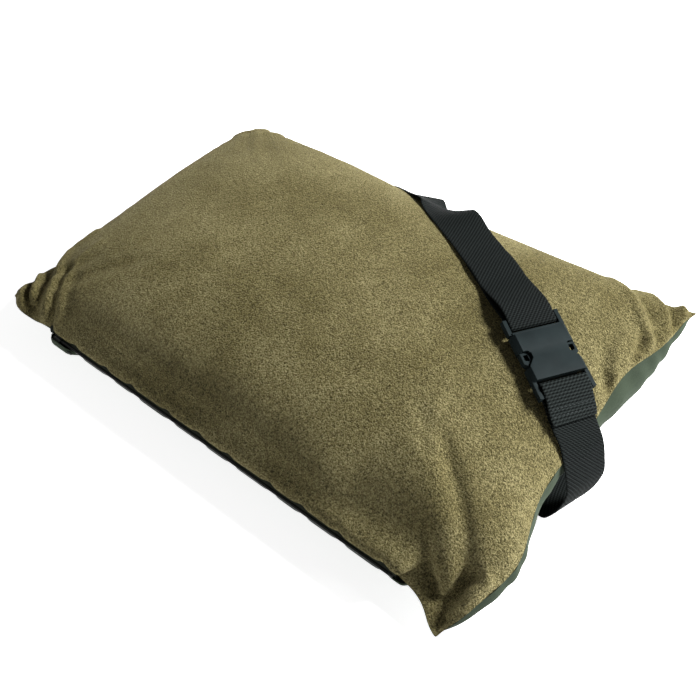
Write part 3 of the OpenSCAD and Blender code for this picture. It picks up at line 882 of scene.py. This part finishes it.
def lip_section(x):
    fade, tuck = end_fade(x, 0.014), pinch(x)
    garage = float(smoothstep((GARAGE_TO - x) / 0.010))
    wave = 0.5 + 0.5 * math.sin(x * 47 + 2) * math.sin(x * 19)
    low = near_side_at(x, 9 * MM, -0.178) / MM
    plain = ((-186, 10.5), (-191.5, 13.5), (-195, 17.5), (-196.0, 20), (-195.6, 21.6), (-194.9, 21.8),
             (-194.3, 20), (-193.2, 17))
    cover = ((-187, 11), (-195, 14), (-201.6, 18.5), (-203.4, 23), (-203.2, 30), (-202.3, 31.4),
             (-202.0, 29), (-201.9, 25))
    out = [(low + 3, 7.5), (low - 0.6, 8.2)]
    for (py, pz), (cy, cz) in zip(plain, cover):
        y = py + (cy - py) * garage + (2.6 * tuck - 0.8 * wave) * (1 - garage)
        z = pz + (cz - pz) * garage - (1.4 * tuck - 0.6 * wave) * (1 - garage)
        out.append((low + (y - low) * fade, z))
    return [Vector((x, y * MM, z * MM)) for y, z in out]


zip_places = np.linspace(ZIP_FROM, ZIP_TO, 230)
flap = strip_mesh("zip_flap_fleece", [flap_section(float(x)) for x in zip_places])
lip = strip_mesh("zip_lip", [lip_section(float(x)) for x in zip_places])
upper_tape = strip_mesh("zip_tape_above", [
    [Vector((x, y * MM, z * MM)) for y, z in
     ((-195.5, 27.2), (-195.9, 29), (-195.5, 31.5), (-194.4, 34.2), (-193.0, 36.6))]
    for x in np.linspace(-0.233, 0.233, 120)])
for strip in (flap, lip, upper_tape):
    subdivided(strip)
flap.data.materials.append(fleece.data.materials[0])
lip.data.materials.append(under.data.materials[0])
tape = zip_tape_material()
upper_tape.data.materials.append(tape)


def unrolled(section):
    """The length round the section of a strip between two pinches."""
    middle = section(0.02)
    return sum((b - a).length for a, b in zip(middle, middle[1:]))


for strip, slot, section in ((flap, "fleece", flap_section), (lip, "peach_fabric", lip_section)):
    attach(strip, "pillow")
    unrolled(section)
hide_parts("zip_flap")
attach(upper_tape, "pillow")
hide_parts("zip_tape_upper")


# ---------------------------------------------------------------- straps

# The buckle's own axes: along the strap, across it and up through the buckle
YAW = math.radians(-29.5)
BUCKLE_TURN = Euler((math.radians(-6), math.radians(14.5), YAW), "XYZ").to_matrix()
E_U, E_V, E_W = (BUCKLE_TURN.col[k].copy() for k in range(3))
ALONG = Vector((math.cos(YAW), math.sin(YAW), 0))
ACROSS = Vector((-math.sin(YAW), math.cos(YAW), 0))
socket_node = nodes["buckle_socket"]
lowest = min((socket_node.matrix_world @ v.co).dot(E_W) for v in socket_node.data.vertices)
BUCKLE_X, BUCKLE_Y = 0.226, 0.038
BUCKLE_AT = Vector((BUCKLE_X, BUCKLE_Y, (lowest - BUCKLE_X * E_W.x - BUCKLE_Y * E_W.y) / E_W.z))
WEB_W, WEB_T = 0.050, 0.0015
# How far the middle of the webbing lies over the fleece
LIE = 0.0005 + WEB_T / 2
# The straps run this way under the pillow
RUN = Vector((250, -162, 0)).normalized()
RUN_ACROSS = Vector((-RUN.y, RUN.x, 0))


def in_buckle(x, z):
    """A station x millimetres along the buckle and z up through it, and the direction across the strap."""
    return BUCKLE_AT + E_U * (x * MM) + E_W * (z * MM), E_V.copy()


def round_bar(x, z, radius, first, last, steps=9):
    turns = [math.radians(first + (last - first) * k / (steps - 1)) for k in range(steps)]
    return [in_buckle(x + radius * math.cos(a), z + radius * math.sin(a)) for a in turns]


def lying(u, lift, far_lift=0):
    """A station on the crown, u millimetres along the strap from the buckle."""
    centre = Vector((BUCKLE_AT.x, BUCKLE_AT.y, 0)) + ALONG * (u * MM)
    near, far = centre - ACROSS * 0.022, centre + ACROSS * 0.022
    z_near, z_far = top_at(near.x, near.y), top_at(far.x, far.y)
    z_far += far_lift * MM
    z = max(top_at(centre.x, centre.y), (z_near + z_far) / 2) + LIE + lift * MM
    tilt = ACROSS * 0.044 + Vector((0, 0, z_far - z_near))
    return Vector((centre.x, centre.y, z)), tilt.normalized()


def under_run(distance, z):
    """A station under the pillow, a distance in millimetres from the anchor."""
    return Vector((ANCHOR.x + distance * MM * RUN.x, ANCHOR.y + distance * MM * RUN.y, z * MM)), RUN_ACROSS


def placed(stations):
    return [(Vector(p) * MM, Vector(a).normalized()) for p, a in stations]


# Where the straps go round the back edge and the right-hand edge: places in millimetres, directions across
BACK_TURN = placed([
    ((-20, 178, 7), (0.62, 0.78, 0)), ((-36, 189, 15), (0.74, 0.67, 0.05)),
    ((-46, 197, 30), (0.84, 0.54, 0.08)), ((-49, 200, 48), (0.88, 0.47, 0)),
    ((-44, 194, 59), (0.83, 0.55, -0.10)), ((-34, 187, 73), (0.72, 0.62, -0.24)),
    ((-20, 179, 86), (0.60, 0.70, -0.36))])
RIGHT_TURN = placed([
    ((293, -22, 4.2), (0.36, 0.93, 0)), ((306, -20, 13), (0.26, 0.96, 0)),
    ((311, -9, 33), (0.24, 0.97, -0.05)), ((305, -4, 53), (0.30, 0.94, -0.12)),
    ((294.5, 1, 73.6), (0.40, 0.89, -0.20))])
# The middle of the plug's inner bar, along the strap and up through the buckle
PLUG_BAR, BAR_Z = -34.5, 5.5

long_route = (
    [under_run(d, 3.1) for d in (24, 0, -40, -80)] + BACK_TURN
    + [lying(u, 0, 15 * math.exp(-((u + 208) / 30) ** 2)) for u in range(-255, -134, 12)]
    + [lying(u, 2.2) for u in (-120, -105, -90)]
    + [in_buckle(-62, 7), in_buckle(-50, 9.4), in_buckle(-42, 9)]
    + round_bar(PLUG_BAR, BAR_Z, 3, 90, -90)
    + [in_buckle(-42, 2.2), in_buckle(-52, 0.6)]
    + [lying(u, 0) for u in (-72, -90, -108, -125)])
# The folded end of the short strap hangs a little askew
CUT_ACROSS = Vector((0.40, 0.90, -0.16)).normalized()
FOLD = [in_buckle(33, 11.4), in_buckle(38, 9.9), in_buckle(42, 9.3), in_buckle(47, 7.0), in_buckle(53, 3.4),
        in_buckle(60, 0.2), (in_buckle(66.5, -3.2)[0], CUT_ACROSS)]
short_route = (
    [under_run(d, 1.4) for d in (-24, 0, 40, 80)] + [under_run(150, 2.4)] + RIGHT_TURN
    + [(in_buckle(69, -7.6)[0], CUT_ACROSS), in_buckle(58, -3.6), in_buckle(49, -0.4), in_buckle(41, 0.9),
       in_buckle(35, 1.0), in_buckle(30, 2.8), in_buckle(27.7, 6.2), in_buckle(29.2, 10.0)] + FOLD)


def smooth_line(stations, step):
    """Even stations on a smooth curve through the given ones."""
    place_list = np.array([p for p, _ in stations])
    side_list = np.array([a for _, a in stations])

    def spline(values):
        padded = np.vstack([2 * values[0] - values[1], values, 2 * values[-1] - values[-2]])
        out = []
        for k in range(1, len(padded) - 2):
            a, b, c, d = padded[k - 1:k + 3]
            for f in np.linspace(0, 1, 12, endpoint=False):
                out.append(0.5 * (2 * b + (c - a) * f + (2 * a - 5 * b + 4 * c - d) * f * f
                                  + (3 * b - a - 3 * c + d) * f ** 3))
        return np.array(out + [values[-1]])

    line_points, line_sides = spline(place_list), spline(side_list)
    run = np.concatenate([[0], np.cumsum(np.linalg.norm(np.diff(line_points, axis=0), axis=1))])
    wanted = np.linspace(0, run[-1], int(run[-1] / step) + 1)
    even = [np.column_stack([np.interp(wanted, run, values[:, k]) for k in range(3)])
            for values in (line_points, line_sides)]
    even[1] /= np.linalg.norm(even[1], axis=1, keepdims=True)
    return even[0], even[1], float(run[-1])


COLUMNS = 15


def ribbon(name, stations, step=0.0022, clear=0.0013):
    """Webbing along the stations, kept just clear of the cover, its UV map in metres."""
    centre, side, length = smooth_line(stations, step)
    heading = np.gradient(centre, axis=0)
    heading /= np.linalg.norm(heading, axis=1, keepdims=True)
    facing = np.cross(heading, side)
    facing /= np.linalg.norm(facing, axis=1, keepdims=True)
    # Columns are closer together at the rounded edges
    across = np.sin(np.linspace(-1, 1, COLUMNS) * math.pi / 2) * (WEB_W / 2)
    edge = np.clip((np.abs(across) - (WEB_W / 2 - WEB_T / 2)) / (WEB_T / 2), 0, 1)
    half = WEB_T / 2 * np.sqrt(np.maximum(1 - edge ** 2, 0.05))
    spine = centre[:, None, :] + side[:, None, :] * across[None, :, None]
    rise = np.zeros(spine.shape[:2])
    for i, j in np.argwhere(spine[:, :, 2] > 0.060):
        x, y, z = spine[i, j]
        rise[i, j] = max(0.0, top_at(float(x), float(y)) + clear - float(z))
    for _ in range(3):
        padded_rise = np.pad(rise, ((1, 1), (0, 0)), mode="edge")
        rise = np.maximum(rise, (padded_rise[:-2] + padded_rise[2:]) / 2)
    spine[:, :, 2] += rise
    upper = spine + facing[:, None, :] * half[None, :, None]
    lower = spine - facing[:, None, :] * half[None, :, None]
    rows = len(centre)
    ring = np.concatenate([upper, lower[:, ::-1]], axis=1)
    count = ring.shape[1]
    pts = ring.reshape(-1, 3)
    quads = [(i * count + j, i * count + (j + 1) % count, (i + 1) * count + (j + 1) % count,
              (i + 1) * count + j) for i in range(rows - 1) for j in range(count)]
    caps = [tuple(range(count - 1, -1, -1)), tuple((rows - 1) * count + j for j in range(count))]
    mesh = mesh_from(name, pts, quads + caps)
    along = np.linspace(0, length, rows)
    v_of = np.concatenate([across, across[::-1]])
    uv = mesh.uv_layers.new(name="UVMap")
    loops = np.empty(len(mesh.loops), dtype=int)
    mesh.loops.foreach_get("vertex_index", loops)
    values = np.column_stack([along[loops // count], v_of[loops % count]])
    uv.data.foreach_set("uv", values.ravel())
    return new_object(name, mesh), length


strap_long, long_length = ribbon("strap_through_adjuster", long_route)
strap_short, short_length = ribbon("strap_to_socket", short_route)
web = webbing_material("webbing", long_length)
web_ribbed = webbing_material("webbing_ribbed", short_length - 0.045)
strap_long.data.materials.append(web)
strap_short.data.materials.append(web_ribbed)
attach(strap_short, "pillow")
lying(-235, 0)[0]
in_buckle(-60, 4)[0]
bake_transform(strap_long)
for strap, node_name, length in (
        (strap_long, "strap_long", long_length), (strap_short, "strap_short", short_length)):
    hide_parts(node_name)


def stitch_rows(name, rows):
    """Raised stitches across the folded end of the short strap."""
    mesh = bmesh.new()
    for centre, side, facing in rows:
        heading = side.cross(facing)
        for k in range(10):
            place_k = centre + side * ((k - 4.5) * 4.5 * MM)
            turn = Matrix((side, heading, facing)).transposed().to_4x4()
            shape = Matrix.Diagonal((1.75 * MM, 0.42 * MM, 0.38 * MM, 1))
            bmesh.ops.create_uvsphere(mesh, u_segments=12, v_segments=8, radius=1,
                                      matrix=Matrix.Translation(place_k) @ turn @ shape)
    data = bpy.data.meshes.new(name)
    mesh.to_mesh(data)
    mesh.free()
    data.shade_smooth()
    return new_object(name, data)


def on_fold(u):
    """A place on the outside of the folded end, its side and outward directions."""
    guess = BUCKLE_AT + E_U * (u * MM) + E_W * 0.03
    hit, normal, _, _ = tree_of(strap_short).ray_cast(guess, -E_W)
    return hit + normal * 0.0001, E_V, normal


thread = thread_material()
stitches = stitch_rows("fold_stitches", [on_fold(54.0), on_fold(60.0)])
stitches.data.materials.append(thread)
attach(stitches, "pillow")
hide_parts("strap_end_stitching")


# ---------------------------------------------------------------- buckle and zip metalwork

plastic = plastic_material()
ROUNDING_ANGLE = math.radians(32)


def rounded_copy(node_name, name, width):
    """A copy of a CAD node with its edges rounded as a moulding's are."""
    node = nodes[node_name]
    mesh = bmesh.new()
    mesh.from_mesh(node.data)
    mesh.transform(node.matrix_world)
    bmesh.ops.remove_doubles(mesh, verts=mesh.verts, dist=2e-6)
    bmesh.ops.dissolve_limit(mesh, angle_limit=math.radians(1.5), verts=mesh.verts, edges=mesh.edges)
    data = bpy.data.meshes.new(name)
    mesh.to_mesh(data)
    mesh.free()
    obj = new_object(name, data)
    bevel = obj.modifiers.new("rounding", "BEVEL")
    bevel.width = width
    bevel.segments = 3
    bevel.limit_method = "ANGLE"
    bevel.angle_limit = ROUNDING_ANGLE
    bevel.use_clamp_overlap = True
    bevel.harden_normals = True
    data.shade_smooth()
    apply_modifiers(obj)
    return obj


for node_name, name, body, width in (
        ("buckle_socket", "socket_moulding", "pillow", 0.0006),
        ("buckle_plug", "plug_moulding", "plug", 0.0005),
        ("buckle_prong_left", "prong_left_moulding", "prong_left", 0.0005),
        ("buckle_prong_right", "prong_right_moulding", "prong_right", 0.0005)):
    moulding = rounded_copy(node_name, name, width)
    moulding.data.materials.append(plastic)
    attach(moulding, body)
    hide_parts(node_name)

teeth = zip_teeth_material()
metal = zip_metal_material()
LOOKS = {
    "zip_tape_lower": tape, "zip_coil_upper": teeth, "zip_coil_lower": teeth,
    "zip_end_stops": metal, "zip_slider": metal, "zip_pull_tab": metal, "anchor_stitching": thread,
}
for name, material in LOOKS.items():
    nodes[name].data.materials.clear()
    nodes[name].data.materials.append(material)
